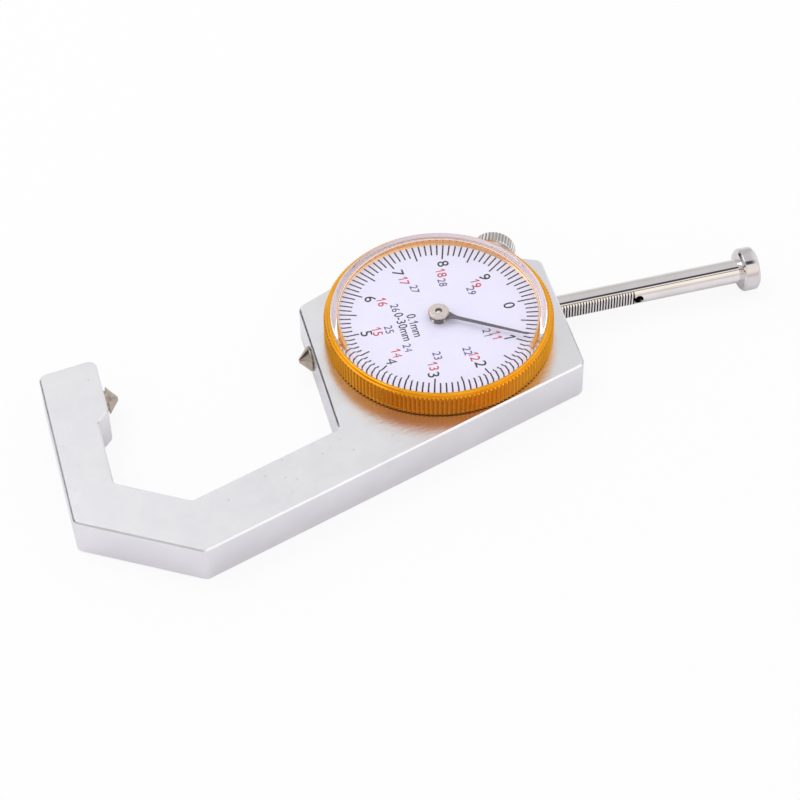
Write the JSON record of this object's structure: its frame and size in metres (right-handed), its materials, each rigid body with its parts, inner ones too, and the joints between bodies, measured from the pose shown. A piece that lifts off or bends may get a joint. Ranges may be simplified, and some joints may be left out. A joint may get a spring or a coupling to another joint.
{
  "type": "dial thickness gauge",
  "caption": "C-frame dial thickness gauge with cone tips, rack-driven pointer, knurled turning bezel, thumb knob and lock screw.",
  "frame": {"origin": "on the flat back plane of the frame, right under the pointer's arbor", "axes": "+X runs along the spindle towards its thumb knob, +Z comes out of the dial, +Y points from the bar towards the lock screw"},
  "size_m": [0.1239, 0.057, 0.0132],
  "materials": {
    "frame_casting": "satin, finely brushed along the frame",
    "hardened_tip": "ground",
    "polished_steel": "polished",
    "movement_steel": "turned",
    "movement_brass": "turned",
    "spring_steel": "blued",
    "gold_bezel": "orange gold anodised, knurled",
    "dial_enamel": "pale lavender white, satin, printed in black, red and blue-violet",
    "clear_crystal": "clear moulded acrylic",
    "nickel": "nickel plated",
    "needle_paint": "dark grey, satin"
  },
  "bodies": {
    "gauge_frame": {"frame": "frame_casting", "anvil_tip": "hardened_tip", "pinion_bush": "movement_brass", "hairspring": "spring_steel", "hairspring_stud": "movement_brass", "movement_bridge": "movement_brass", "bridge_screw_1": "movement_steel", "bridge_screw_2": "movement_steel", "bezel_retainer": "movement_brass", "retainer_screw_1": "movement_steel", "retainer_screw_2": "movement_steel", "retainer_screw_3": "movement_steel", "bezel_spring": "spring_steel"},
    "spindle": {"spindle_rod": "polished_steel", "spindle_tip": "hardened_tip", "spindle_knob": "polished_steel"},
    "pointer": {"pinion_arbor": "movement_steel", "hairspring_collet": "movement_brass", "pointer_hub": "nickel", "pointer_needle": "needle_paint"},
    "bezel": {"bezel_ring": "gold_bezel", "dial_plate": "dial_enamel", "crystal": "clear_crystal"},
    "lock_nose": {"lock_pad": "movement_brass"},
    "lock_thumbscrew": {"lock_screw": "nickel"}
  },
  "joints": [
    {"name": "spindle_slide", "type": "slide", "parent": "gauge_frame", "child": "spindle", "axis": [1, 0, 0], "range_m": [-0.0309, 0]},
    {"name": "pointer_turn", "type": "hinge", "parent": "gauge_frame", "child": "pointer", "pos_m": [0, 0, 0.01], "axis": [0, 0, 1], "range_deg": [-1, 1113]},
    {"name": "bezel_turn", "type": "hinge", "parent": "gauge_frame", "child": "bezel", "pos_m": [0, 0, 0.01], "axis": [0, 0, 1], "continuous": true},
    {"name": "lock_advance", "type": "slide", "parent": "gauge_frame", "child": "lock_nose", "axis": [-0.3971, -0.9178, 0], "range_m": [-0.001, 0.00033]},
    {"name": "lock_turn", "type": "hinge", "parent": "lock_nose", "child": "lock_thumbscrew", "pos_m": [0.01344, 0.0149, 0.00375], "axis": [-0.3971, -0.9178, 0], "range_deg": [-728, 245]}
  ],
  "couplings": [
    {"joint": "pointer_turn", "follows": "spindle_slide", "rad_per_m": -628.32},
    {"joint": "lock_turn", "follows": "lock_advance", "rad_per_m": 12566}
  ]
}
